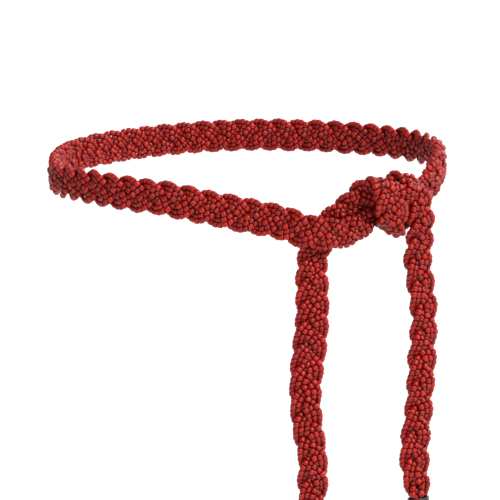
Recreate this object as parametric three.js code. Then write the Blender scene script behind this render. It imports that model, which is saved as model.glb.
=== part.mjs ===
// Rope belt: a flat plait of three bead-string strands, once round the waist, tied in a half knot at
// the front right, with two hanging tails that end in small dark caps.
// +X is the wearer's left as seen from the front, -Y is the front and +Z is up. The origin is the
// middle of the waist, level with the hips' turn of the belt.
import * as THREE from 'three';
import { mergeVertices } from 'three/addons/utils/BufferGeometryUtils.js';

// Driving dimensions, in millimetres
const waistWidth = 277; // inside the loop, hip to hip
const waistDepth = 190; // inside the loop, front to back
const waistDropHeight = 30; // how far the knot hangs below the hips' turns
const beltWidth = 24.9; // over the scallops of both edges
const strandWidth = 8.8; // three bead strings abreast
const strandThickness = 2.8;
const strandGap = 0.3; // left between strands where they cross
const plaitPitch = 45; // along the belt, for one strand to come back to the same edge
const leftTailLength = 176; // from under the knot to the braid's end
const rightTailLength = 198.5;
const capWidth = 16.5;
const capDepth = 11;
const capLength = 24;
const capWall = 1.2;
const capOverlap = 6; // length of braid inside a cap
const capRound = 7.5; // height of a cap's rounded bottom
const capRim = 0.4; // chamfer round its mouth
const capSides = 24;

// Shape of the waist and of the plait
const waistRoundness = 2.2; // 2 is an ellipse, more is squarer
const knotAngle = -52.4; // degrees round the waist from +X to the knot's middle
const stepsPerTurn = 10; // sections in one plait pitch
const strandLean = 0.2; // radians that a strand's section rocks as it dives under its neighbour
const crossingSpread = 0.3; // how much of a slanted strand's wider cut the section takes
const shoulder = 0.6; // share of a section's half width that is flat
const knotSqueeze = 0.84; // how far the knot's pull narrows each strand
const layerShare = 0.92; // of a strand and its gap, how far a strand sways to front and back

const strandCount = 3;
const startPhase = 0.1; // radians, at the left tail's end
const edgeReach = (beltWidth - strandWidth) / 2; // a strand's sway to each side
const layerOffset = layerShare * (strandThickness + strandGap); // its sway to front and back

// The way round the waist, from the knot's right-hand end past the back to its left-hand end.
// round is the share of that way, up is a share of waistDropHeight.
const waistRoute = [
  { round: 0.04, up: 0.28 },
  { round: 0.12, up: 0.45 },
  { round: 0.21, up: 0.55 },
  { round: 0.35, up: 0.6 },
  { round: 0.48, up: 0.45 },
  { round: 0.58, up: 0.25 },
  { round: 0.64, up: 0.08 },
  { round: 0.69, up: -0.07 },
  { round: 0.73, up: -0.1 },
  { round: 0.79, up: -0.18 },
  { round: 0.83, up: -0.26 },
  { round: 0.87, up: -0.34 },
  { round: 0.9, up: -0.46 },
  { round: 0.94, up: -0.62 },
  { round: 0.97, up: -0.75 },
];

// The tails. drop is a share of the tail's length, along is in belt widths, out is in belt depths.
const leftTailRoute = [
  { drop: 1, along: -1.89, out: 1.6, lean: 0, width: 0.5, depth: 0.8, pitch: 1.1 },
  { drop: 0.95, along: -1.88, out: 1.55, lean: 0, width: 0.58, depth: 0.85, pitch: 1.1 },
  { drop: 0.88, along: -1.87, out: 1.5, lean: 0, width: 0.81, depth: 1, pitch: 1.1 },
  { drop: 0.77, along: -1.86, out: 1.45, lean: 0, width: 0.77, depth: 1, pitch: 1.1 },
  { drop: 0.61, along: -2.02, out: 1.35, lean: 0, width: 0.85, depth: 1, pitch: 1.1 },
  { drop: 0.46, along: -2.05, out: 1.2, lean: 0, width: 0.93, depth: 1, pitch: 1.1 },
  { drop: 0.28, along: -1.9, out: 1, lean: 0, width: 1.04, depth: 1, pitch: 1.05 },
  { drop: 0.16, along: -1.84, out: 0.85, lean: 0, width: 1, depth: 1, pitch: 1 },
  { drop: 0.08, along: -1.84, out: 0.72, lean: 0, width: 0.95, depth: 1, pitch: 1 },
];
const rightTailRoute = [
  { drop: 0.095, along: 1.32, out: 1.25, lean: -20, width: 0.77, depth: 1, pitch: 1.1 },
  { drop: 0.19, along: 1.44, out: 1.25, lean: -20, width: 0.76, depth: 1, pitch: 1.2 },
  { drop: 0.29, along: 1.53, out: 1.36, lean: -20, width: 0.75, depth: 1, pitch: 1.25 },
  { drop: 0.47, along: 1.41, out: 1.53, lean: -20, width: 0.79, depth: 1, pitch: 1.25 },
  { drop: 0.62, along: 1.26, out: 1.7, lean: -20, width: 0.76, depth: 1, pitch: 1.25 },
  { drop: 0.8, along: 1.05, out: 1.87, lean: -20, width: 0.9, depth: 1, pitch: 1.25 },
  { drop: 0.88, along: 1.08, out: 1.95, lean: -20, width: 0.8, depth: 1, pitch: 1.2 },
  { drop: 0.95, along: 1.14, out: 2, lean: -20, width: 0.5, depth: 0.85, pitch: 1.2 },
  { drop: 1, along: 1.16, out: 2.05, lean: -20, width: 0.5, depth: 0.8, pitch: 1.2 },
];

// The half knot. along and up are in belt widths from the knot's middle and from the origin, out is
// in belt depths from the waist. turn is the angle of the belt's width from upright, lean tips it
// out of the waist's surface, and width and depth are shares of the plait's own.
// First the end that comes up from the left tail, behind the other, wraps over the front and leaves
// for the right hip.
const wrapRoute = [
  { along: -1.85, up: -2.43, out: 0.6, turn: 90, lean: 0, width: 0.86, depth: 1 },
  { along: -1.76, up: -1.92, out: 0.5, turn: 78, lean: 0, width: 0.8, depth: 0.95 },
  { along: -1.56, up: -1.47, out: 0.47, turn: 60, lean: 0, width: 0.76, depth: 0.9 },
  { along: -1.26, up: -1.1, out: 0.46, turn: 48, lean: 0, width: 0.74, depth: 0.88 },
  { along: -0.84, up: -0.78, out: 0.48, turn: 45, lean: 0, width: 0.82, depth: 0.85 },
  { along: -0.55, up: -0.48, out: 0.72, turn: 44, lean: 0, width: 0.82, depth: 0.85 },
  { along: -0.35, up: -0.22, out: 1.12, turn: 45, lean: 0, width: 0.78, depth: 0.9 },
  { along: -0.22, up: -0.08, out: 1.42, turn: 52, lean: 18, width: 0.76, depth: 0.95 },
  { along: -0.11, up: -0.03, out: 1.87, turn: 71, lean: 26, width: 0.84, depth: 1 },
  { along: -0.03, up: -0.11, out: 2.33, turn: 88, lean: 18, width: 0.96, depth: 1 },
  { along: 0.03, up: -0.28, out: 2.53, turn: 97, lean: 0, width: 1.04, depth: 1 },
  { along: 0.07, up: -0.5, out: 2.55, turn: 97, lean: 0, width: 1.02, depth: 1 },
  { along: 0.14, up: -0.76, out: 2.42, turn: 97, lean: 0, width: 0.98, depth: 1 },
  { along: 0.19, up: -1.07, out: 2.14, turn: 88, lean: -23, width: 0.92, depth: 1 },
  { along: 0.33, up: -1.26, out: 1.46, turn: 63, lean: -34, width: 0.8, depth: 1 },
  { along: 0.57, up: -1.27, out: 0.78, turn: 38, lean: -23, width: 0.66, depth: 0.9 },
  { along: 0.87, up: -1.13, out: 0.48, turn: 30, lean: 0, width: 0.64, depth: 0.88 },
  { along: 1.26, up: -0.85, out: 0.45, turn: 34, lean: 0, width: 0.68, depth: 0.88 },
  { along: 1.72, up: -0.52, out: 0.46, turn: 33, lean: 0, width: 0.8, depth: 0.9 },
  { along: 2.26, up: -0.18, out: 0.5, turn: 30, lean: 0, width: 0.92, depth: 1 },
  { along: 2.71, up: 0.08, out: 0.5, turn: 24, lean: 0, width: 1, depth: 1 },
];
// Then the end that comes from the left hip, over the front of the other, dives behind the wrap and
// folds down over the top into the right tail.
const foldRoute = [
  { along: -2.69, up: -1.05, out: 0.62, turn: -8, lean: 0, width: 1, depth: 1 },
  { along: -2.27, up: -1.22, out: 1.1, turn: -12, lean: 0, width: 0.97, depth: 1 },
  { along: -1.91, up: -1.31, out: 1.48, turn: -8, lean: 0, width: 0.92, depth: 1 },
  { along: -1.54, up: -1.35, out: 1.55, turn: 0, lean: 0, width: 0.86, depth: 1 },
  { along: -1.14, up: -1.35, out: 1.52, turn: 6, lean: 0, width: 0.76, depth: 0.95 },
  { along: -0.76, up: -1.28, out: 1.4, turn: 16, lean: 0, width: 0.66, depth: 0.9 },
  { along: -0.42, up: -1.13, out: 1.2, turn: 26, lean: 0, width: 0.58, depth: 0.88 },
  { along: -0.13, up: -0.9, out: 0.8, turn: 36, lean: 0, width: 0.56, depth: 0.88 },
  { along: 0.17, up: -0.61, out: 0.48, turn: 42, lean: 0, width: 0.58, depth: 0.88 },
  { along: 0.6, up: -0.16, out: 0.48, turn: 41, lean: 0, width: 0.64, depth: 0.9 },
  { along: 0.78, up: -0.02, out: 0.68, turn: 49, lean: 19, width: 0.7, depth: 0.95 },
  { along: 0.89, up: 0.01, out: 1.16, turn: 69, lean: 27, width: 0.77, depth: 1 },
  { along: 0.95, up: -0.1, out: 1.63, turn: 89, lean: 19, width: 0.84, depth: 1 },
  { along: 0.98, up: -0.3, out: 1.84, turn: 96, lean: 0, width: 0.9, depth: 1 },
  { along: 1.07, up: -0.58, out: 1.86, turn: 94, lean: -8, width: 0.86, depth: 1 },
  { along: 1.21, up: -1.0, out: 1.78, turn: 92, lean: -15, width: 0.78, depth: 1 },
  { along: 1.32, up: -1.57, out: 1.42, turn: 90, lean: -20, width: 0.78, depth: 1 },
];

const degree = Math.PI / 180;

// Half the width, the sway and the lean of a strand's section at one phase of the plait
function strandSection(phase) {
  const slope = crossingSpread * (2 * Math.PI * edgeReach / plaitPitch) * Math.cos(phase);
  return {
    side: edgeReach * Math.sin(phase),
    layer: -layerOffset * Math.sin(2 * phase),
    lean: -strandLean * Math.cos(3 * phase),
    halfWidth: strandWidth / 2 * Math.hypot(1, slope),
  };
}

// A point of a strand's section, x and y from -1 to 1, in the plait's own width and depth
function plaitPoint(phase, x, y, body) {
  const section = strandSection(phase);
  const across = x * section.halfWidth * body;
  const through = y * strandThickness / 2 * body;
  return {
    side: section.side + across * Math.cos(section.lean) - through * Math.sin(section.lean),
    layer: section.layer + across * Math.sin(section.lean) + through * Math.cos(section.lean),
  };
}

// The plait's full depth, over every phase
function plaitDepth() {
  const samples = 72;
  let reach = 0;
  for (let i = 0; i < samples; i += 1) {
    const phase = 2 * Math.PI * i / samples;
    for (const x of [-shoulder, shoulder]) reach = Math.max(reach, plaitPoint(phase, x, 1, 1).layer);
  }
  return 2 * reach;
}

const beltDepth = plaitDepth();

// The waist's outline as a table of places and running lengths, anticlockwise from its left end
function traceWaist() {
  const samples = 1440;
  const power = 2 / waistRoundness;
  const trace = [];
  let length = 0;
  for (let i = 0; i <= samples; i += 1) {
    const angle = 2 * Math.PI * i / samples - Math.PI;
    const cos = Math.cos(angle);
    const sin = Math.sin(angle);
    const x = waistWidth / 2 * Math.sign(cos) * Math.abs(cos) ** power;
    const y = waistDepth / 2 * Math.sign(sin) * Math.abs(sin) ** power;
    if (i > 0) length += Math.hypot(x - trace[i - 1].x, y - trace[i - 1].y);
    trace.push({ angle, x, y, length });
  }
  return trace;
}

const waist = traceWaist();
const waistLength = waist[waist.length - 1].length;
const knotLength = waist[Math.round((knotAngle / 360 + 0.5) * (waist.length - 1))].length;

// A place on the waist, with the directions along it and out of it
function waistAt(along) {
  const wanted = THREE.MathUtils.euclideanModulo(knotLength + along, waistLength);
  const next = Math.max(1, waist.findIndex((place) => place.length >= wanted));
  const before = waist[next - 1];
  const after = waist[next];
  const share = (wanted - before.length) / (after.length - before.length);
  const tangent = new THREE.Vector3(after.x - before.x, after.y - before.y, 0).normalize();
  return {
    point: new THREE.Vector3(
      THREE.MathUtils.lerp(before.x, after.x, share),
      THREE.MathUtils.lerp(before.y, after.y, share),
      0,
    ),
    tangent,
    outward: new THREE.Vector3(tangent.y, -tangent.x, 0),
  };
}

// One point of the route, with the direction of the belt's width there
function routePoint(row) {
  const place = waistAt(row.along);
  const turn = row.turn * degree;
  const lean = row.lean * degree;
  const point = place.point.clone().addScaledVector(place.outward, row.out);
  point.z = row.up;
  const width = new THREE.Vector3(0, 0, Math.cos(turn) * Math.cos(lean));
  width.addScaledVector(place.tangent, -Math.sin(turn) * Math.cos(lean));
  width.addScaledVector(place.outward, Math.sin(lean));
  return { point, width, row };
}

function knotRow(row) {
  return {
    ...row,
    along: row.along * beltWidth,
    up: row.up * beltWidth,
    out: row.out * beltDepth,
    pitch: 1,
    body: knotSqueeze,
  };
}

function tailRow(row, top, length) {
  return {
    ...row,
    along: row.along * beltWidth,
    up: top - row.drop * length,
    out: row.out * beltDepth,
    turn: 90,
    body: 1,
  };
}

function waistRow(row, start, end) {
  return {
    along: THREE.MathUtils.lerp(start, end, row.round),
    up: row.up * waistDropHeight,
    out: 0.5 * beltDepth,
    turn: 0,
    lean: 0,
    width: 1,
    depth: 1,
    pitch: 1,
    body: 1,
  };
}

// The whole route, from the left tail's end through the knot, round the waist and through the knot
// again to the right tail's end
function beltRoute() {
  const wrap = wrapRoute.map(knotRow);
  const fold = foldRoute.map(knotRow);
  const start = wrap[wrap.length - 1].along;
  const end = waistLength + fold[0].along;
  const leftTop = wrap[0].up;
  const rightTop = fold[fold.length - 1].up;
  return [
    ...leftTailRoute.map((row) => tailRow(row, leftTop, leftTailLength)),
    ...wrap,
    ...waistRoute.map((row) => waistRow(row, start, end)),
    ...fold,
    ...rightTailRoute.map((row) => tailRow(row, rightTop, rightTailLength)),
  ].map(routePoint);
}

function smoothCurve(points) {
  const curve = new THREE.CatmullRomCurve3(points, false, 'centripetal');
  curve.arcLengthDivisions = 4000;
  return curve;
}

// The shares of width, depth, pitch and strand body at a place from 0 to 1 along the route's rows
function sharesAt(route, knob) {
  const place = knob * (route.length - 1);
  const before = Math.min(Math.floor(place), route.length - 2);
  const mix = (key) => THREE.MathUtils.lerp(
    route[before].row[key],
    route[before + 1].row[key],
    place - before,
  );
  return { width: mix('width'), depth: mix('depth'), pitch: mix('pitch'), body: mix('body') };
}

// Sections of the plait at equal steps of its phase, each with its own frame
function plaitSections() {
  const route = beltRoute();
  const line = smoothCurve(route.map((row) => row.point));
  const widths = new THREE.CatmullRomCurve3(route.map((row) => row.width), false, 'catmullrom');
  const length = line.getLength();
  const sections = [];
  let travelled = 0;
  while (travelled < length) {
    const share = travelled / length;
    const knob = line.getUtoTmapping(share);
    const along = line.getTangentAt(share);
    const width = widths.getPoint(knob);
    width.addScaledVector(along, -width.dot(along)).normalize();
    const scale = sharesAt(route, knob);
    sections.push({
      point: line.getPointAt(share),
      along,
      width,
      out: new THREE.Vector3().crossVectors(along, width),
      scale,
      travelled,
    });
    travelled += plaitPitch * scale.pitch / stepsPerTurn;
  }
  return sections;
}

const sections = plaitSections();

// A flattened hexagon, one unit to each side
function strandOutline() {
  const outline = new THREE.Shape();
  outline.moveTo(1, 0);
  outline.lineTo(shoulder, 1);
  outline.lineTo(-shoulder, 1);
  outline.lineTo(-1, 0);
  outline.lineTo(-shoulder, -1);
  outline.lineTo(shoulder, -1);
  outline.closePath();
  return outline;
}

// A strand is drawn out straight, one unit a section, and then bent into the plait and the route
function strandGeometry(index) {
  const steps = sections.length - 1;
  const geometry = new THREE.ExtrudeGeometry(strandOutline(), { depth: steps, steps, bevelEnabled: false });
  geometry.deleteAttribute('uv');
  geometry.deleteAttribute('normal');
  const position = geometry.getAttribute('position');
  const point = new THREE.Vector3();
  for (let i = 0; i < position.count; i += 1) {
    const number = Math.round(position.getZ(i));
    const section = sections[number];
    const phase = startPhase + 2 * Math.PI * (number / stepsPerTurn + index / strandCount);
    const place = plaitPoint(phase, position.getX(i), position.getY(i), section.scale.body);
    point.copy(section.point);
    point.addScaledVector(section.width, place.side * section.scale.width);
    point.addScaledVector(section.out, place.layer * section.scale.depth);
    position.setXYZ(i, point.x, point.y, point.z);
  }
  const closed = mergeVertices(geometry);
  closed.computeVertexNormals();
  return closed;
}

// An oval cup with a round bottom. Its mouth faces +Z, at the origin.
function capGeometry() {
  const radius = capWidth / 2;
  const bore = radius - capWall;
  const floor = capOverlap + strandGap;
  const profile = [new THREE.Vector2(0, -capLength)];
  for (const angle of [0, 30, 60, 90]) {
    const reach = 0.4 + 0.6 * Math.sin(angle * degree);
    profile.push(new THREE.Vector2(radius * reach, -capLength + capRound * (1 - Math.cos(angle * degree))));
  }
  profile.push(
    new THREE.Vector2(radius, -capRim),
    new THREE.Vector2(radius - capRim, 0),
    new THREE.Vector2(bore, 0),
    new THREE.Vector2(bore, -floor),
    new THREE.Vector2(0, -floor),
  );
  const geometry = new THREE.LatheGeometry(profile, capSides);
  geometry.deleteAttribute('uv');
  geometry.deleteAttribute('normal');
  geometry.rotateX(Math.PI / 2);
  geometry.scale(1, capDepth / capWidth, 1);
  const closed = mergeVertices(geometry);
  closed.computeVertexNormals();
  return closed;
}

const beadColor = new THREE.MeshStandardMaterial({ color: 0xa83230, roughness: 0.38, metalness: 0 });
const capColor = new THREE.MeshStandardMaterial({ color: 0x26262a, roughness: 0.4, metalness: 0.1 });

function strand(index) {
  const mesh = new THREE.Mesh(strandGeometry(index), beadColor);
  mesh.name = `strand_${'abc'[index]}`;
  return mesh;
}

// A cap stands on the belt's end section, its mouth towards the belt
function endCap(name, section, intoBelt) {
  const mesh = new THREE.Mesh(capGeometry(), capColor);
  const basis = new THREE.Matrix4().makeBasis(
    section.width,
    new THREE.Vector3().crossVectors(intoBelt, section.width),
    intoBelt,
  );
  mesh.name = name;
  mesh.quaternion.setFromRotationMatrix(basis);
  mesh.position.copy(section.point).addScaledVector(intoBelt, capOverlap);
  return mesh;
}

const group = new THREE.Group();
for (let index = 0; index < strandCount; index += 1) group.add(strand(index));
const first = sections[0];
const last = sections[sections.length - 1];
group.add(endCap('end_cap_left', first, first.along));
group.add(endCap('end_cap_right', last, last.along.clone().negate()));

export default group;
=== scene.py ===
import math

import bpy
import numpy as np
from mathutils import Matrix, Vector, kdtree


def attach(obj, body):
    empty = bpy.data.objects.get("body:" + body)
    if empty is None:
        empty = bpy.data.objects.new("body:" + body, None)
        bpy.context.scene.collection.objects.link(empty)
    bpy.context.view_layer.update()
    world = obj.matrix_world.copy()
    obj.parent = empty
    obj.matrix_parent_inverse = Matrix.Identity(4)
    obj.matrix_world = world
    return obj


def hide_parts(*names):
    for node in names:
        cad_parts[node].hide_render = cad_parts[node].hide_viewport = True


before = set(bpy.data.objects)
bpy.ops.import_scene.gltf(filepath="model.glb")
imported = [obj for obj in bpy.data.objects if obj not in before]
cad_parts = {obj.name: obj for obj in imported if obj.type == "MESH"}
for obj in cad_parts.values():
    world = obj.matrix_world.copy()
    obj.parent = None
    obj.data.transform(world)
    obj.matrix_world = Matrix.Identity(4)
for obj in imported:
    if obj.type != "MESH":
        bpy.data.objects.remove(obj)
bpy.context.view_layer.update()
scene = bpy.context.scene
mm = 0.001
rng = np.random.default_rng(17)

# The photo's view, in metres and degrees
camera = {
    "target": (0.002, 0.0, -0.0598),
    "elevation": 8.0,
    "distance": 1.7,
    "lens": 163.2,
    "sensor": 36.0,
}


def makeCamera(c):
    rise = math.radians(c["elevation"])
    look = Vector((0, math.cos(rise), -math.sin(rise)))
    data = bpy.data.cameras.new("photoView")
    data.lens = c["lens"]
    data.sensor_width = c["sensor"]
    data.clip_start = 0.05
    data.clip_end = 100
    obj = bpy.data.objects.new("photoView", data)
    scene.collection.objects.link(obj)
    obj.location = Vector(c["target"]) - look * c["distance"]
    obj.rotation_euler = look.to_track_quat("-Z", "Y").to_euler()
    scene.camera = obj


makeCamera(camera)
print("camera placed")

# The belt's route, as in the part's source, in millimetres
belt = {
    "waistWidth": 277, "waistDepth": 190, "waistDropHeight": 30, "roundness": 2.2, "knotAngle": -52.4,
    "width": 24.9, "depth": 9.31, "pitch": 45, "steps": 10, "startPhase": 0.1,
    "leftTail": 176, "rightTail": 198.5, "squeeze": 0.84,
}

# along the waist, up, out of it, turn and lean of the width, shares of width and depth
wrapRoute = [
    (-1.85, -2.43, 0.6, 90, 0, 0.86, 1),
    (-1.76, -1.92, 0.5, 78, 0, 0.8, 0.95),
    (-1.56, -1.47, 0.47, 60, 0, 0.76, 0.9),
    (-1.26, -1.1, 0.46, 48, 0, 0.74, 0.88),
    (-0.84, -0.78, 0.48, 45, 0, 0.82, 0.85),
    (-0.55, -0.48, 0.72, 44, 0, 0.82, 0.85),
    (-0.35, -0.22, 1.12, 45, 0, 0.78, 0.9),
    (-0.22, -0.08, 1.42, 52, 18, 0.76, 0.95),
    (-0.11, -0.03, 1.87, 71, 26, 0.84, 1),
    (-0.03, -0.11, 2.33, 88, 18, 0.96, 1),
    (0.03, -0.28, 2.53, 97, 0, 1.04, 1),
    (0.07, -0.5, 2.55, 97, 0, 1.02, 1),
    (0.14, -0.76, 2.42, 97, 0, 0.98, 1),
    (0.19, -1.07, 2.14, 88, -23, 0.92, 1),
    (0.33, -1.26, 1.46, 63, -34, 0.8, 1),
    (0.57, -1.27, 0.78, 38, -23, 0.66, 0.9),
    (0.87, -1.13, 0.48, 30, 0, 0.64, 0.88),
    (1.26, -0.85, 0.45, 34, 0, 0.68, 0.88),
    (1.72, -0.52, 0.46, 33, 0, 0.8, 0.9),
    (2.26, -0.18, 0.5, 30, 0, 0.92, 1),
    (2.71, 0.08, 0.5, 24, 0, 1, 1),
]
foldRoute = [
    (-2.69, -1.05, 0.62, -8, 0, 1, 1),
    (-2.27, -1.22, 1.1, -12, 0, 0.97, 1),
    (-1.91, -1.31, 1.48, -8, 0, 0.92, 1),
    (-1.54, -1.35, 1.55, 0, 0, 0.86, 1),
    (-1.14, -1.35, 1.52, 6, 0, 0.76, 0.95),
    (-0.76, -1.28, 1.4, 16, 0, 0.66, 0.9),
    (-0.42, -1.13, 1.2, 26, 0, 0.58, 0.88),
    (-0.13, -0.9, 0.8, 36, 0, 0.56, 0.88),
    (0.17, -0.61, 0.48, 42, 0, 0.58, 0.88),
    (0.6, -0.16, 0.48, 41, 0, 0.64, 0.9),
    (0.78, -0.02, 0.68, 49, 19, 0.7, 0.95),
    (0.89, 0.01, 1.16, 69, 27, 0.77, 1),
    (0.95, -0.1, 1.63, 89, 19, 0.84, 1),
    (0.98, -0.3, 1.84, 96, 0, 0.9, 1),
    (1.07, -0.58, 1.86, 94, -8, 0.86, 1),
    (1.21, -1.0, 1.78, 92, -15, 0.78, 1),
    (1.32, -1.57, 1.42, 90, -20, 0.78, 1),
]
# drop down the tail, along, out, lean, shares of width, depth and pitch
leftTailRoute = [
    (1, -1.89, 1.6, 0, 0.5, 0.8, 1.1),
    (0.95, -1.88, 1.55, 0, 0.58, 0.85, 1.1),
    (0.88, -1.87, 1.5, 0, 0.81, 1, 1.1),
    (0.77, -1.86, 1.45, 0, 0.77, 1, 1.1),
    (0.61, -2.02, 1.35, 0, 0.85, 1, 1.1),
    (0.46, -2.05, 1.2, 0, 0.93, 1, 1.1),
    (0.28, -1.9, 1, 0, 1.04, 1, 1.05),
    (0.16, -1.84, 0.85, 0, 1, 1, 1),
    (0.08, -1.84, 0.72, 0, 0.95, 1, 1),
]
rightTailRoute = [
    (0.095, 1.32, 1.25, -20, 0.77, 1, 1.1),
    (0.19, 1.44, 1.25, -20, 0.76, 1, 1.2),
    (0.29, 1.53, 1.36, -20, 0.75, 1, 1.25),
    (0.47, 1.41, 1.53, -20, 0.79, 1, 1.25),
    (0.62, 1.26, 1.7, -20, 0.76, 1, 1.25),
    (0.8, 1.05, 1.87, -20, 0.9, 1, 1.25),
    (0.88, 1.08, 1.95, -20, 0.8, 1, 1.2),
    (0.95, 1.14, 2, -20, 0.5, 0.85, 1.2),
    (1, 1.16, 2.05, -20, 0.5, 0.8, 1.2),
]
# share of the way round the waist, and height in shares of the waist's drop
waistRoute = [
    (0.04, 0.28), (0.12, 0.45), (0.21, 0.55), (0.35, 0.6), (0.48, 0.45), (0.58, 0.25),
    (0.64, 0.08), (0.69, -0.07), (0.73, -0.1), (0.79, -0.18), (0.83, -0.26), (0.87, -0.34),
    (0.9, -0.46), (0.94, -0.62), (0.97, -0.75),
]


def traceWaist(b, samples=1440):
    angle = 2 * math.pi * np.arange(samples + 1) / samples - math.pi
    c, s = np.cos(angle), np.sin(angle)
    p = 2 / b["roundness"]
    x = b["waistWidth"] / 2 * np.sign(c) * np.abs(c) ** p
    y = b["waistDepth"] / 2 * np.sign(s) * np.abs(s) ** p
    run = np.concatenate([[0], np.cumsum(np.hypot(np.diff(x), np.diff(y)))])
    return np.stack([x, y], 1), run


waistLine, waistRun = traceWaist(belt)
waistLength = waistRun[-1]
knotRun = waistRun[round((belt["knotAngle"] / 360 + 0.5) * (len(waistRun) - 1))]


def waistAt(along):
    wanted = (knotRun + along) % waistLength
    after = max(1, int(np.searchsorted(waistRun, wanted)))
    before = after - 1
    share = (wanted - waistRun[before]) / (waistRun[after] - waistRun[before])
    step = waistLine[after] - waistLine[before]
    tangent = step / np.linalg.norm(step)
    xy = waistLine[before] + step * share
    return np.array([*xy, 0]), np.array([*tangent, 0]), np.array([tangent[1], -tangent[0], 0])


def routeRows(b):
    w, d = b["width"], b["depth"]
    tight = b["squeeze"]
    wrap = [(a * w, u * w, o * d, t, l, sw, sd, 1, tight) for a, u, o, t, l, sw, sd in wrapRoute]
    fold = [(a * w, u * w, o * d, t, l, sw, sd, 1, tight) for a, u, o, t, l, sw, sd in foldRoute]
    start, end = wrap[-1][0], waistLength + fold[0][0]
    left, right = wrap[0][1], fold[-1][1]
    rows = [(a * w, left - q * b["leftTail"], o * d, 90, l, sw, sd, p, 1)
            for q, a, o, l, sw, sd, p in leftTailRoute]
    rows += wrap
    rows += [(start + (end - start) * r, u * b["waistDropHeight"], d / 2, 0, 0, 1, 1, 1, 1)
             for r, u in waistRoute]
    rows += fold
    rows += [(a * w, right - q * b["rightTail"], o * d, 90, l, sw, sd, p, 1)
             for q, a, o, l, sw, sd, p in rightTailRoute]
    return rows


def routeFrame(row):
    along, up, out, turn, lean = row[:5]
    point, tangent, outward = waistAt(along)
    turn, lean = math.radians(turn), math.radians(lean)
    point = point + outward * out
    point[2] = up
    width = np.array([0, 0, math.cos(turn) * math.cos(lean)])
    width = width - tangent * math.sin(turn) * math.cos(lean) + outward * math.sin(lean)
    return point, width


def unit(v):
    return v / np.maximum(np.linalg.norm(v, axis=1, keepdims=True), 1e-9)


# The curve through the points; the even kind takes them as equally far apart
def smoothThrough(points, knobs, even=False):
    p = np.asarray(points, float)
    p = np.vstack([2 * p[0] - p[1], p, 2 * p[-1] - p[-2]])
    place = np.clip(knobs, 0, 1) * (len(points) - 1)
    i = np.minimum(place.astype(int), len(points) - 2)
    t = (place - i)[:, None]
    a, b, c, d = p[i], p[i + 1], p[i + 2], p[i + 3]
    if even:
        t1, t2 = (c - a) / 2, (d - b) / 2
    else:
        ab = np.sum((b - a) ** 2, 1, keepdims=True) ** 0.25
        bc = np.sum((c - b) ** 2, 1, keepdims=True) ** 0.25
        cd = np.sum((d - c) ** 2, 1, keepdims=True) ** 0.25
        t1 = ((b - a) / ab - (c - a) / (ab + bc) + (c - b) / bc) * bc
        t2 = ((c - b) / bc - (d - b) / (bc + cd) + (d - c) / cd) * bc
    return b + t1 * t + (-3 * b + 3 * c - 2 * t1 - t2) * t ** 2 + (2 * b - 2 * c + t1 + t2) * t ** 3


class Route:
    def __init__(self, b):
        rows = routeRows(b)
        frames = [routeFrame(row) for row in rows]
        self.b = b
        self.points = np.array([f[0] for f in frames])
        self.widths = np.array([f[1] for f in frames])
        self.shares = np.array([row[5:] for row in rows], float)
        self.knobs = np.linspace(0, 1, 4001)
        trace = smoothThrough(self.points, self.knobs)
        self.run = np.concatenate([[0], np.cumsum(np.linalg.norm(np.diff(trace, axis=0), axis=1))])
        self.length = self.run[-1]
        travelled, stops = 0.0, []
        while travelled < self.length:
            stops.append(travelled)
            travelled += b["pitch"] * self.sharesAt(np.array([travelled]))[0, 2] / b["steps"]
        self.stops = np.array(stops)

    def knobAt(self, run):
        return np.interp(run, self.run, self.knobs)

    def sharesAt(self, run):
        place = self.knobAt(run) * (len(self.points) - 1)
        rows = np.arange(len(self.points))
        return np.stack([np.interp(place, rows, self.shares[:, k]) for k in range(4)], 1)

    def frameAt(self, run):
        knob = self.knobAt(run)
        step = 1e-4
        point = smoothThrough(self.points, knob)
        along = smoothThrough(self.points, knob + step) - smoothThrough(self.points, knob - step)
        along /= np.linalg.norm(along, axis=1, keepdims=True)
        width = smoothThrough(self.widths, knob, even=True)
        width -= along * np.sum(width * along, 1, keepdims=True)
        width /= np.linalg.norm(width, axis=1, keepdims=True)
        return point, along, width, np.cross(along, width)


route = Route(belt)
print(f"route: {len(route.stops)} sections, {route.length:.0f} mm")

# Three strands of three strings each; lengths in millimetres
strings = {
    "strands": 3, "perStrand": 3,
    "beadWidth": 4.45, "beadLength": 4.0,
    "widthSpread": 0.05, "lengthSpread": 0.09,
    "spacing": 3.6,        # from string to string, square to their run
    "edgeRoom": 1.9,        # from the belt's edge to the outermost string
    "layerReach": 2.6,      # how far a strand goes over and under
    "wander": 0.15, "wanderLength": 31.0,
    "stringShift": 2.4, "strandShift": 1.3,     # how far apart their wanders are, in radians
    "sampleStep": 0.05,     # in sections of the route
    "crowding": 1.25,       # how little a string gives way where the belt is drawn narrow
    "bunch": 3.0,           # how far the middle string rises there
    "capGap": 5.6, "stagger": 1.8,
    "straightTail": 0.1,    # how far the tails' edges are evened out
    "straightRamp": 30.0,   # the length over which that comes in
    # painted shade between beads: how far it reaches in millimetres, how sharply it fades, and how far to
    # look for neighbours in bead widths; its own string shades less
    "creviceReach": 2.0, "shadeFade": 2.0, "shadeSearch": 1.8, "ownString": 0.4,
    # painted contact shadow where the belt lies over itself: its reach, its fade, and how far apart along
    # the belt two beads must be
    "foldShadeReach": 3.4, "foldShadeFade": 1.2, "foldedAfter": 40.0,     # where the belt lies over itself
    "rounds": 80, "searchEvery": 10, "searchReach": 1.3, "sameStretch": 30.0, "skipNearest": 3,
    "pull": 0.05, "even": 0.5, "sideways": 0.25, "give": 0.4,
    "touch": 0.93, "besideTouch": 0.85,     # how near beads come, in their widths
    "clearOver": 0.9,       # height from which one strand counts as above another
}


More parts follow.
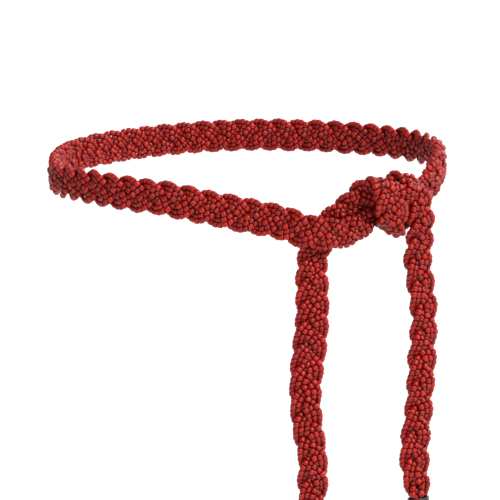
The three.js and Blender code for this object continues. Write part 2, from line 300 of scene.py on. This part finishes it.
def stringPath(route, s, strand, string):
    b = route.b
    number = np.arange(0, len(route.stops) - 1, s["sampleStep"])
    run = np.interp(number, np.arange(len(route.stops)), route.stops)
    share = route.sharesAt(run)
    phase = b["startPhase"] + 2 * math.pi * (number / b["steps"] + strand / s["strands"])
    reach = b["width"] / 2 - s["edgeRoom"] - s["spacing"]
    fromEnd = np.maximum(b["leftTail"] - run, run - (route.length - b["rightTail"]))
    straight = s["straightTail"] * np.clip(fromEnd / s["straightRamp"], 0, 1)
    side = reach * (np.sin(phase) + straight * np.sin(3 * phase)) * share[:, 0]
    slope = np.gradient(side, run)
    tilt = np.sqrt(1 + slope ** 2)
    turn = 2 * math.pi * run / s["wanderLength"] + s["stringShift"] * string + s["strandShift"] * strand
    order = string - 1
    tight = np.minimum(1, share[:, 0] * share[:, 3] * s["crowding"])
    across = order * s["spacing"] * tight + s["wander"] * np.sin(turn)
    layer = -s["layerReach"] * np.sin(2 * phase) * np.sqrt(share[:, 1])
    layer = layer + (1 if order == 0 else -0.5) * s["bunch"] * (1 - tight)
    run = np.clip(run - across * slope / tilt, 0, route.length)
    side = side + across / tilt
    point, along, width, out = route.frameAt(run)
    return point + width * side[:, None] + out * layer[:, None], run, out


def layBeads(route, s):
    groups = []
    for strand in range(s["strands"]):
        for string in range(s["perStrand"]):
            path, run, out = stringPath(route, s, strand, string)
            far = np.concatenate([[0], np.cumsum(np.linalg.norm(np.diff(path, axis=0), axis=1))])
            first = far[np.argmax(run > s["capGap"] + s["stagger"] * rng.random())]
            last = far[np.argmax(run > route.stops[-1] - s["capGap"] - s["stagger"] * rng.random())]
            count = int(round((last - first) / s["beadLength"]))
            lengths = s["beadLength"] * (1 + s["lengthSpread"] * rng.uniform(-1, 1, count))
            lengths *= (last - first) / lengths.sum()
            centre = first + np.cumsum(lengths) - lengths / 2
            place = np.stack([np.interp(centre, far, path[:, k]) for k in range(3)], 1)
            outward = np.stack([np.interp(centre, far, out[:, k]) for k in range(3)], 1)
            widths = s["beadWidth"] * (1 + s["widthSpread"] * rng.uniform(-1, 1, count))
            groups.append({"place": place, "length": lengths, "width": widths, "out": outward,
                           "run": np.interp(centre, far, run), "strand": strand, "string": string})
    return groups


def joinedOf(groups, key):
    return np.concatenate([g[key] for g in groups])


def treeOf(place):
    tree = kdtree.KDTree(len(place))
    for i, p in enumerate(place):
        tree.insert(p, i)
    tree.balance()
    return tree


# Strands that cross push each other over and under; where the belt crosses itself they push freely
def settleBeads(groups, s):
    place = joinedOf(groups, "place")
    target = place.copy()
    length, run, out = joinedOf(groups, "length"), joinedOf(groups, "run"), unit(joinedOf(groups, "out"))
    radius = joinedOf(groups, "width") / 2
    owner = np.concatenate([np.full(len(g["place"]), k) for k, g in enumerate(groups)])
    strand = owner // s["perStrand"]
    order = np.arange(len(place))
    joined = order[:-1][owner[:-1] == owner[1:]]
    apart = (length[joined] + length[joined + 1]) / 2
    inner = order[1:-1][(owner[:-2] == owner[1:-1]) & (owner[2:] == owner[1:-1])]
    for turn in range(s["rounds"]):
        if turn % s["searchEvery"] == 0:
            tree = treeOf(place)
            found = [(i, j) for i, p in enumerate(place)
                     for _, j, _ in tree.find_range(p, s["beadWidth"] * s["searchReach"])
                     if j > i and not (owner[i] == owner[j] and j - i < s["skipNearest"])]
            a, b = np.array(found).T
            near = np.abs(run[a] - run[b]) < s["sameStretch"]
            beside = near & (strand[a] == strand[b])
            need = (radius[a] + radius[b]) * np.where(beside, s["besideTouch"], s["touch"])
            normal = unit(out[a] + out[b])
            height = np.sum((target[b] - target[a]) * normal, 1)
            above = np.sign(height)
            crossed = near & ~beside & (np.abs(height) > s["clearOver"])
        place += s["pull"] * (target - place)
        gap = place[b] - place[a]
        high = np.sum(gap * normal, 1)
        flat = np.sum(gap ** 2, 1) - high ** 2
        lift = np.maximum(0, np.sqrt(np.maximum(0, need ** 2 - flat)) - above * high)
        far = np.linalg.norm(gap, axis=1)
        free = gap * (np.maximum(0, need - far) / np.maximum(far, 1e-6))[:, None]
        push = np.where(crossed[:, None], normal * (above * lift)[:, None], free) * s["give"]
        shift, times = np.zeros_like(place), np.zeros(len(place))
        np.add.at(shift, a, -push)
        np.add.at(shift, b, push)
        moving = np.abs(push).max(1) > 1e-6
        np.add.at(times, a[moving], 1)
        np.add.at(times, b[moving], 1)
        place += shift / np.sqrt(np.maximum(times, 1))[:, None]
        strayed = place - target
        strayed[inner] += s["even"] * (0.5 * (strayed[inner - 1] + strayed[inner + 1]) - strayed[inner])
        place = target + strayed
        gap = place[joined + 1] - place[joined]
        size = np.linalg.norm(gap, axis=1)
        push = gap * (s["sideways"] * (size - apart) / np.maximum(size, 1e-6))[:, None]
        np.add.at(place, joined, push)
        np.add.at(place, joined + 1, -push)
    gap = place[b] - place[a]
    tight = np.linalg.norm(gap, axis=1) / (radius[a] + radius[b])
    moved = np.linalg.norm(place - target, axis=1)
    print(f"beads settled: {len(place)}, moved {moved.mean():.2f} mm, most {moved.max():.2f}, "
          f"closest {tight.min():.2f}, under 0.8: {(tight < 0.8).sum()} of {len(a)}")
    start = 0
    for g in groups:
        g["place"] = place[start:start + len(g["place"])]
        start += len(g["place"])


# radius and height of a bead's outline, in half widths and half lengths
beadOutline = [
    (0.27, -0.85), (0.55, -1.0), (0.85, -0.89), (1.0, -0.48),
    (1.0, 0.48), (0.85, 0.89), (0.55, 1.0), (0.27, 0.85),
]
# how far each bead may lean off its string, be oval and have slanting ends
beadForm = {"sides": 12, "lean": 0.06, "oval": 0.05, "slant": 0.12}


def meshFrom(name, points, quads):
    mesh = bpy.data.meshes.new(name)
    mesh.vertices.add(len(points))
    mesh.vertices.foreach_set("co", np.ascontiguousarray(points * mm, np.float32).ravel())
    mesh.loops.add(quads.size)
    mesh.loops.foreach_set("vertex_index", quads.ravel().astype(np.int32))
    mesh.polygons.add(len(quads))
    mesh.polygons.foreach_set("loop_start", np.arange(0, quads.size, 4, dtype=np.int32))
    mesh.polygons.foreach_set("use_smooth", np.full(len(quads), True))
    mesh.update(calc_edges=True)
    mesh.validate()
    obj = bpy.data.objects.new(name, mesh)
    scene.collection.objects.link(obj)
    return obj


# Painted shade: how close each point of a bead comes to the beads round it, from 0 to 1, which darkens its
# colour; its own string counts less
def paintedShadeOf(points, group, crowd, s):
    reach = s["beadWidth"] * s["shadeSearch"]
    own, other = [], []
    for i, p in enumerate(group["place"]):
        for _, j, away in crowd["tree"].find_range(p, reach):
            if away > 0.01:
                own.append(i)
                other.append(j)
    own, other = np.array(own), np.array(other)
    itself = group["strand"] * s["perStrand"] + group["string"]
    share = np.where(crowd["owner"][other] == itself, s["ownString"], 1)
    folded = np.abs(crowd["run"][other] - group["run"][own]) > s["foldedAfter"]
    within = np.where(folded, s["foldShadeReach"], s["creviceReach"])
    fade = np.where(folded, s["foldShadeFade"], s["shadeFade"])
    result = np.zeros(points.shape[:2])
    batch = 4000    # pairs at a time, to save memory
    for start in range(0, len(own), batch):
        part = slice(start, start + batch)
        i, j = own[part], other[part]
        away = np.linalg.norm(points[i] - crowd["place"][j][:, None, :], axis=2)
        away = away - crowd["radius"][j][:, None]
        dark = np.clip(1 - away / within[part, None], 0, 1) ** fade[part, None] * share[part, None]
        np.maximum.at(result, i, dark)
    return result


def beadMesh(name, group, crowd, s, form):
    place, count = group["place"], len(group["place"])
    along = unit(np.gradient(place, axis=0))
    along = unit(along + form["lean"] * rng.normal(size=along.shape))
    roll = unit(np.cross(along, rng.normal(size=along.shape)))
    other = np.cross(along, roll)
    ring = np.array(beadOutline)
    rings, sides = len(ring), form["sides"]
    angle = 2 * math.pi * np.arange(sides) / sides
    x = (ring[:, :1] * np.cos(angle)).ravel()
    y = (ring[:, :1] * np.sin(angle)).ravel()
    z = np.repeat(ring[:, 1], sides)
    half = group["width"] / 2
    oval = 1 + form["oval"] * rng.uniform(-1, 1, count)
    slant = form["slant"] * rng.uniform(-1, 1, count)
    rolled, crossed = roll * (half * oval)[:, None], other * (half / oval)[:, None]
    forward = along * (group["length"] * 0.5)[:, None]
    lifted = z[None, :] + slant[:, None] * x[None, :]
    points = place[:, None, :] + rolled[:, None, :] * x[None, :, None]
    points = points + crossed[:, None, :] * y[None, :, None]
    points = points + forward[:, None, :] * lifted[:, :, None]
    i, j = np.meshgrid(np.arange(rings), np.arange(sides), indexing="ij")
    a, b = i * sides + j, i * sides + (j + 1) % sides
    c, d = ((i + 1) % rings) * sides + (j + 1) % sides, ((i + 1) % rings) * sides + j
    quads = np.stack([a, b, c, d], -1).reshape(-1, 4)
    quads = (quads[None] + (np.arange(count) * rings * sides)[:, None, None]).reshape(-1, 4)
    obj = meshFrom(name, points.reshape(-1, 3), quads)
    # painted shade at every point of the bead, kept as an attribute for its material
    crevice = paintedShadeOf(points, group, crowd, s).ravel()
    for title, values in (("beadTone", np.repeat(rng.random(count), rings * sides)),
                          ("beadShine", np.repeat(rng.random(count), rings * sides)), ("crevice", crevice)):
        attribute = obj.data.attributes.new(title, "FLOAT", "POINT")
        attribute.data.foreach_set("value", values.astype(np.float32))
    return obj


def ringQuads(rows, sides):
    i, j = np.meshgrid(np.arange(rows - 1), np.arange(sides), indexing="ij")
    return np.stack([i * sides + j, i * sides + (j + 1) % sides,
                     (i + 1) * sides + (j + 1) % sides, (i + 1) * sides + j], -1).reshape(-1, 4)


def tubePoints(line, radius, sides):
    along = unit(np.gradient(line, axis=0))
    up = unit(np.cross(along, [0.31, 0.2, 0.93]))   # any direction that the line doesn't follow
    other = np.cross(along, up)
    angle = 2 * math.pi * np.arange(sides) / sides
    circle = up[:, None] * np.cos(angle)[None, :, None] + other[:, None] * np.sin(angle)[None, :, None]
    return (line[:, None] + radius * circle).reshape(-1, 3), ringQuads(len(line), sides)


groups = layBeads(route, strings)
settleBeads(groups, strings)
# every bead's place, size, run and string, from which the painted shade is worked out
crowd = {
    "place": joinedOf(groups, "place"),
    "radius": joinedOf(groups, "width") / 2,
    "run": joinedOf(groups, "run"),
    "owner": np.repeat(np.arange(len(groups)), [len(g["place"]) for g in groups]),
}
crowd["tree"] = treeOf(crowd["place"])

# The end caps, in millimetres; the overlap is how far a tail reaches in
cap = {
    "width": 16.5, "depth": 11, "length": 24, "wall": 1.2, "overlap": 6, "gap": 0.3,
    "round": 7.5, "flatShare": 0.4,     # how far up the end is round, and how much of it is flat
    "rim": 0.55, "lip": 1.6, "corner": 1, "tip": 0.02,
    "sides": 64, "endRings": 12, "rimRings": 9,
}


def capFrame(atEnd):
    run = np.array([route.stops[-1] if atEnd else 0.0])
    point, along, width, _ = (v[0] for v in route.frameAt(run))
    into = -along if atEnd else along
    return point + into * cap["overlap"], width, np.cross(into, width), into


def capMesh(name, atEnd, c):
    radius, rim = c["width"] / 2, c["rim"]
    floor = c["overlap"] + c["gap"]
    flat = c["flatShare"]
    outline = [(c["tip"], -c["length"])]
    for turn in np.linspace(0, 90, c["endRings"]):
        t = math.radians(turn)
        outline.append((radius * (flat + (1 - flat) * math.sin(t)),
                        -c["length"] + c["round"] * (1 - math.cos(t))))
    for turn in np.linspace(0, 180, c["rimRings"]):
        t = math.radians(turn)
        outline.append((radius - rim + rim * math.cos(t), -rim + rim * math.sin(t)))
    bore = radius - c["wall"]
    outline += [(bore, -c["lip"]), (bore, -floor + c["corner"]),
                (bore - c["corner"], -floor), (c["tip"], -floor)]
    ring = np.array(outline)
    angle = 2 * math.pi * np.arange(c["sides"]) / c["sides"]
    x = (ring[:, :1] * np.cos(angle)).ravel()
    y = (ring[:, :1] * np.sin(angle)).ravel() * c["depth"] / c["width"]
    z = np.repeat(ring[:, 1], c["sides"])
    origin, u, v, w = capFrame(atEnd)
    points = origin + x[:, None] * u + y[:, None] * v + z[:, None] * w
    return meshFrom(name, points, ringQuads(len(ring), c["sides"]))


def newMaterial(name):
    material = bpy.data.materials.new(name)
    material.use_nodes = True
    nodes = material.node_tree.nodes
    return material, nodes, material.node_tree.links, nodes["Principled BSDF"]


def mottleGroup():
    g = bpy.data.node_groups.new("mottle", "ShaderNodeTree")
    face = g.interface
    for title, kind, value in (
            ("Light", "NodeSocketColor", (1, 1, 1, 1)), ("Dark", "NodeSocketColor", (0, 0, 0, 1)),
            ("Scale", "NodeSocketFloat", 400), ("Tone", "NodeSocketFloat", 0.5),
            ("Amount", "NodeSocketFloat", 0.3)):
        face.new_socket(title, in_out="INPUT", socket_type=kind).default_value = value
    for title, kind in (("Color", "NodeSocketColor"), ("Height", "NodeSocketFloat")):
        face.new_socket(title, in_out="OUTPUT", socket_type=kind)
    n, l = g.nodes, g.links
    gin, gout = n.new("NodeGroupInput"), n.new("NodeGroupOutput")
    coord = n.new("ShaderNodeTexCoord")
    noise = n.new("ShaderNodeTexNoise")
    noise.inputs["Detail"].default_value = 4
    l.new(coord.outputs["Object"], noise.inputs["Vector"])
    l.new(gin.outputs["Scale"], noise.inputs["Scale"])
    swing = n.new("ShaderNodeMath")
    swing.operation = "MULTIPLY_ADD"
    centre = n.new("ShaderNodeMath")
    centre.operation = "SUBTRACT"
    centre.inputs[1].default_value = 0.5
    l.new(noise.outputs["Fac"], centre.inputs[0])
    l.new(centre.outputs[0], swing.inputs[0])
    l.new(gin.outputs["Amount"], swing.inputs[1])
    l.new(gin.outputs["Tone"], swing.inputs[2])
    mix = n.new("ShaderNodeMix")
    mix.data_type = "RGBA"
    mix.clamp_factor = True
    l.new(swing.outputs[0], mix.inputs["Factor"])
    l.new(gin.outputs["Dark"], mix.inputs["A"])
    l.new(gin.outputs["Light"], mix.inputs["B"])
    l.new(mix.outputs["Result"], gout.inputs["Color"])
    l.new(noise.outputs["Fac"], gout.inputs["Height"])
    return g


mottle = mottleGroup()
bumpDepth = 0.0001  # metres


def placeMottle(nodes, links, shader, finish, tone=None):
    node = nodes.new("ShaderNodeGroup")
    node.node_tree = mottle
    node.inputs["Light"].default_value = (*finish["light"], 1)
    node.inputs["Dark"].default_value = (*finish["dark"], 1)
    node.inputs["Scale"].default_value = finish["scale"]
    node.inputs["Amount"].default_value = finish["amount"]
    if tone is not None:
        links.new(tone, node.inputs["Tone"])
    links.new(node.outputs["Color"], shader.inputs["Base Color"])
    if finish["bump"]:
        bump = nodes.new("ShaderNodeBump")
        bump.inputs["Strength"].default_value = finish["bump"]
        bump.inputs["Distance"].default_value = bumpDepth
        links.new(node.outputs["Height"], bump.inputs["Height"])
        links.new(bump.outputs["Normal"], shader.inputs["Normal"])
    return node


# Bead colours: light and dark mottle the red; the near-black one is painted shade between crowded beads
beadFinish = {
    "light": (0.43, 0.009, 0.004), "dark": (0.27, 0.004, 0.002), "paintedShadeColour": (0.02, 0.001, 0.0015),
    "scale": 500, "amount": 0.35, "bump": 0.25,
    "roughLow": 0.33, "roughHigh": 0.46, "coat": 0.05, "coatRough": 0.2, "specular": 0.3,
}


def attributeNode(nodes, title):
    node = nodes.new("ShaderNodeAttribute")
    node.attribute_name = title
    return node


def beadMaterial(f):
    material, nodes, links, shader = newMaterial("coralGlass")
    tone, shine, crevice = (attributeNode(nodes, title) for title in ("beadTone", "beadShine", "crevice"))
    placed = placeMottle(nodes, links, shader, f, tone.outputs["Fac"])
    # the colour goes towards near black by the painted shade attribute
    shadeMix = nodes.new("ShaderNodeMix")
    shadeMix.data_type = "RGBA"
    shadeMix.inputs["B"].default_value = (*f["paintedShadeColour"], 1)
    links.new(crevice.outputs["Fac"], shadeMix.inputs["Factor"])
    links.new(placed.outputs["Color"], shadeMix.inputs["A"])
    links.new(shadeMix.outputs["Result"], shader.inputs["Base Color"])
    span = nodes.new("ShaderNodeMapRange")
    span.inputs["To Min"].default_value = f["roughLow"]
    span.inputs["To Max"].default_value = f["roughHigh"]
    links.new(shine.outputs["Fac"], span.inputs["Value"])
    links.new(span.outputs["Result"], shader.inputs["Roughness"])
    shader.inputs["Specular IOR Level"].default_value = f["specular"]
    shader.inputs["Coat Weight"].default_value = f["coat"]
    shader.inputs["Coat Roughness"].default_value = f["coatRough"]
    return material


threadFinish = {
    "light": (0.16, 0.012, 0.012), "dark": (0.05, 0.004, 0.004), "scale": 2500, "amount": 0.8, "bump": 0.5,
    "rough": 0.85,
}


def threadMaterial(f):
    material, nodes, links, shader = newMaterial("darkRedThread")
    placeMottle(nodes, links, shader, f)
    shader.inputs["Roughness"].default_value = f["rough"]
    return material


capFinish = {
    "light": (0.013, 0.012, 0.015), "dark": (0.006, 0.006, 0.008), "scale": 300, "amount": 0.9, "bump": 0.3,
    "rough": 0.38, "coat": 0.3,
}


def capMaterial(f):
    material, nodes, links, shader = newMaterial("charcoalCap")
    placeMottle(nodes, links, shader, f)
    shader.inputs["Roughness"].default_value = f["rough"]
    shader.inputs["Coat Weight"].default_value = f["coat"]
    return material


coral = beadMaterial(beadFinish)
thread = threadMaterial(threadFinish)
charcoal = capMaterial(capFinish)

for g in groups:
    letter = "abc"[g["strand"]]
    obj = beadMesh(f"string_{letter}_{g['string'] + 1}", g, crowd, strings, beadForm)
    obj.data.materials.append(coral)
    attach(obj, "root")
    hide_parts(f"strand_{letter}")
print("bead strings made")

# In each cap a thread goes on past its last bead and in towards the middle
threads = {"radius": 0.4, "sides": 5, "into": 3, "spread": 0.35}
startCap, endCap = capFrame(False), capFrame(True)
for strand in range(strings["strands"]):
    points, quads, offset = [], [], 0
    for g in groups:
        if g["strand"] != strand:
            continue
        line = g["place"]
        inStart = startCap[0] - startCap[3] * threads["into"] + threads["spread"] * (line[0] - startCap[0])
        inEnd = endCap[0] - endCap[3] * threads["into"] + threads["spread"] * (line[-1] - endCap[0])
        p, q = tubePoints(np.vstack([inStart, line, inEnd]), threads["radius"], threads["sides"])
        points.append(p)
        quads.append(q + offset)
        offset += len(p)
    letter = "abc"[strand]
    obj = meshFrom(f"threads_{letter}", np.vstack(points), np.vstack(quads))
    obj.data.materials.append(thread)
    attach(obj, "root")
    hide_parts(f"strand_{letter}")
print("threads made")

for node, atEnd in (("end_cap_left", False), ("end_cap_right", True)):
    obj = capMesh(node + "_shell", atEnd, cap)
    obj.data.materials.append(charcoal)
    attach(obj, "root")
    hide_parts(node)
print("caps made")

studio = {
    "floor": -0.45, "floorSize": 30, "floorColor": (0.9, 0.9, 0.91), "floorDarker": 0.97,
    "floorScale": 3, "floorRough": 0.9, "world": 0.35,
}


def makeFloor(s):
    size = s["floorSize"]
    mesh = bpy.data.meshes.new("studioFloor")
    corners = [(x, y, s["floor"]) for x, y in ((-size, -size), (size, -size), (size, size), (-size, size))]
    mesh.from_pydata(corners, [], [(0, 1, 2, 3)])
    obj = bpy.data.objects.new("studioFloor", mesh)
    scene.collection.objects.link(obj)
    material, nodes, links, shader = newMaterial("paleFloor")
    dark = tuple(s["floorDarker"] * c for c in s["floorColor"])
    finish = {"light": s["floorColor"], "dark": dark, "scale": s["floorScale"], "amount": 1.0, "bump": 0}
    placeMottle(nodes, links, shader, finish)
    shader.inputs["Roughness"].default_value = s["floorRough"]
    mesh.materials.append(material)


# where each sun stands, how wide it looks in radians, how strong it is and how much it shines on gloss
suns = {
    "keyLight": {"source": (0.75, -0.9, 1.15), "spread": 0.25, "strength": 3.0, "gloss": 1.0},
    "rightLight": {"source": (1.0, -0.4, 0.15), "spread": 1.2, "strength": 1.5, "gloss": 3.0},
    "backLight": {"source": (0.7, 1.0, 0.6), "spread": 0.9, "strength": 1.5, "gloss": 0.4},
}


def sunLight(name, sun):
    data = bpy.data.lights.new(name, "SUN")
    data.angle = sun["spread"]
    data.energy = sun["strength"]
    data.specular_factor = sun["gloss"]
    obj = bpy.data.objects.new(name, data)
    scene.collection.objects.link(obj)
    obj.location = sun["source"]
    obj.rotation_euler = (-Vector(sun["source"])).to_track_quat("-Z", "Y").to_euler()


makeFloor(studio)
for name, sun in suns.items():
    sunLight(name, sun)
world = bpy.data.worlds.new("studioWorld")
scene.world = world
world.use_nodes = True
world.node_tree.nodes["Background"].inputs["Color"].default_value = (1, 1, 1, 1)
world.node_tree.nodes["Background"].inputs["Strength"].default_value = studio["world"]
scene.view_settings.view_transform = "Standard"
print("studio made")
